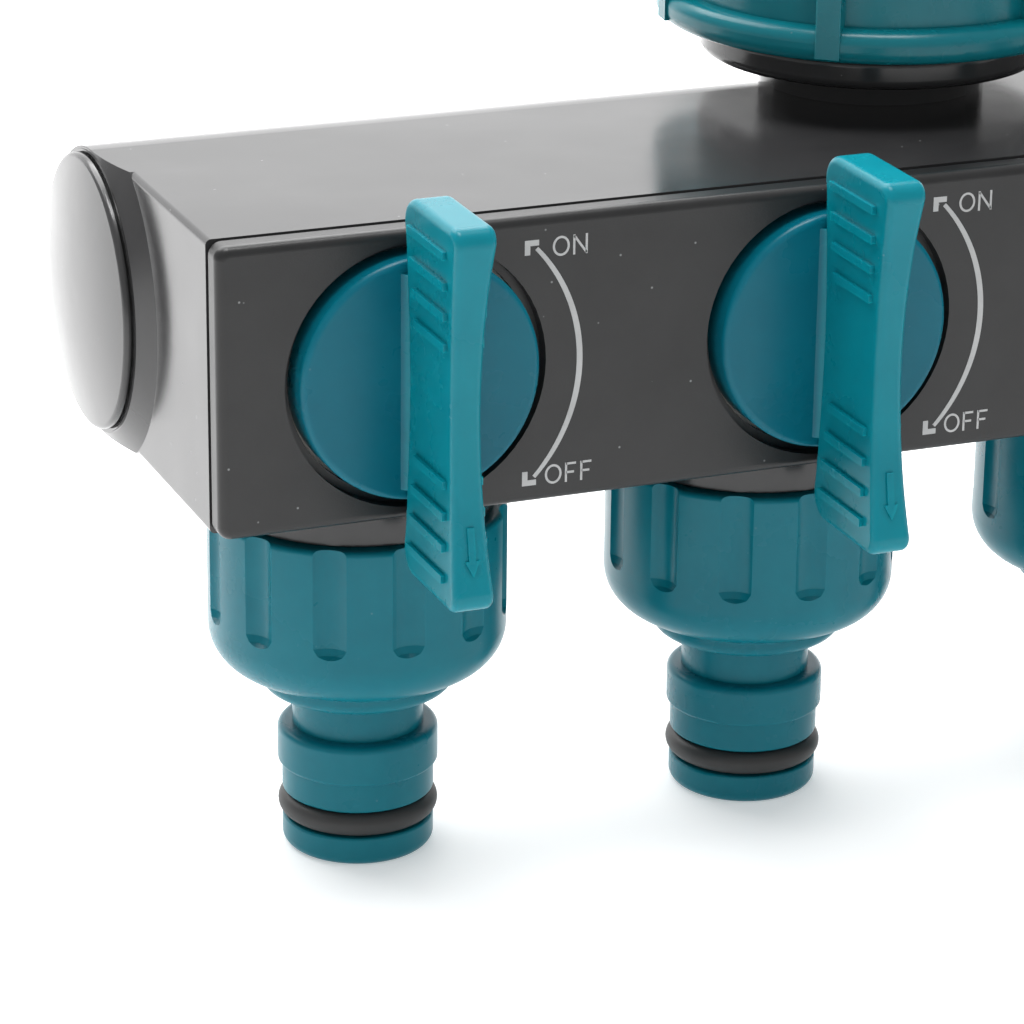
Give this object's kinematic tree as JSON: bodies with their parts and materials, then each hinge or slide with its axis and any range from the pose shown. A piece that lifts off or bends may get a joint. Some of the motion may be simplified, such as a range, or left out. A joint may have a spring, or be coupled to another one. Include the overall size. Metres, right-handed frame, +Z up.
{
  "type": "hose splitter",
  "caption": "Garden hose splitter: a black manifold with a threaded swivel inlet on top and a row of teal quick-connect outlets below, each with its own lever valve.",
  "frame": {"origin": "centre of the footprint at the plane of the four nipple tips", "axes": "+X along the manifold, +Z up along the inlet axis, valve levers face -Y"},
  "size_m": [0.1818, 0.0767, 0.1031],
  "materials": {
    "black_body": "semi-gloss moulded plastic",
    "black_panel": "satin moulded plastic",
    "black_cap": "glossy moulded plastic",
    "black_spigot": "semi-gloss moulded plastic",
    "teal_lever": "semi-gloss moulded plastic",
    "teal_connector": "semi-gloss moulded plastic",
    "teal_nut": "semi-gloss moulded plastic",
    "white_plug": "natural acetal",
    "black_rubber": "black rubber"
  },
  "bodies": {
    "manifold": {"housing": "black_body", "front_panel": "black_panel", "left_end_cap": "black_cap", "right_end_cap": "black_cap", "left_cap_o_ring": "black_rubber", "right_cap_o_ring": "black_rubber", "inlet_spigot": "black_spigot", "inlet_washer": "black_rubber", "valve_seat_1": "black_rubber", "outlet_connector_1": "teal_connector", "connector_washer_1": "black_rubber", "nipple_o_ring_1": "black_rubber", "valve_seat_2": "black_rubber", "outlet_connector_2": "teal_connector", "connector_washer_2": "black_rubber", "nipple_o_ring_2": "black_rubber", "valve_seat_3": "black_rubber", "outlet_connector_3": "teal_connector", "connector_washer_3": "black_rubber", "nipple_o_ring_3": "black_rubber", "valve_seat_4": "black_rubber", "outlet_connector_4": "teal_connector", "connector_washer_4": "black_rubber", "nipple_o_ring_4": "black_rubber"},
    "swivel_nut": {"inlet_nut": "teal_nut"},
    "valve_1": {"lever_knob_1": "teal_lever", "valve_plug_1": "white_plug", "plug_seal_1": "black_rubber"},
    "valve_2": {"lever_knob_2": "teal_lever", "valve_plug_2": "white_plug", "plug_seal_2": "black_rubber"},
    "valve_3": {"lever_knob_3": "teal_lever", "valve_plug_3": "white_plug", "plug_seal_3": "black_rubber"},
    "valve_4": {"lever_knob_4": "teal_lever", "valve_plug_4": "white_plug", "plug_seal_4": "black_rubber"}
  },
  "joints": [
    {"name": "inlet_nut_swivel", "type": "hinge", "parent": "manifold", "child": "swivel_nut", "pos_m": [0, 0.01457, 0.0911], "axis": [0, 0, 1], "continuous": true},
    {"name": "valve_lever_1", "type": "hinge", "parent": "manifold", "child": "valve_1", "pos_m": [-0.0669, -0.02243, 0.057], "axis": [0, -1, 0], "range_deg": [0, 180]},
    {"name": "valve_lever_2", "type": "hinge", "parent": "manifold", "child": "valve_2", "pos_m": [-0.0223, -0.02243, 0.057], "axis": [0, -1, 0], "range_deg": [0, 180]},
    {"name": "valve_lever_3", "type": "hinge", "parent": "manifold", "child": "valve_3", "pos_m": [0.0223, -0.02243, 0.057], "axis": [0, -1, 0], "range_deg": [0, 180]},
    {"name": "valve_lever_4", "type": "hinge", "parent": "manifold", "child": "valve_4", "pos_m": [0.0669, -0.02243, 0.057], "axis": [0, -1, 0], "range_deg": [0, 180]}
  ]
}
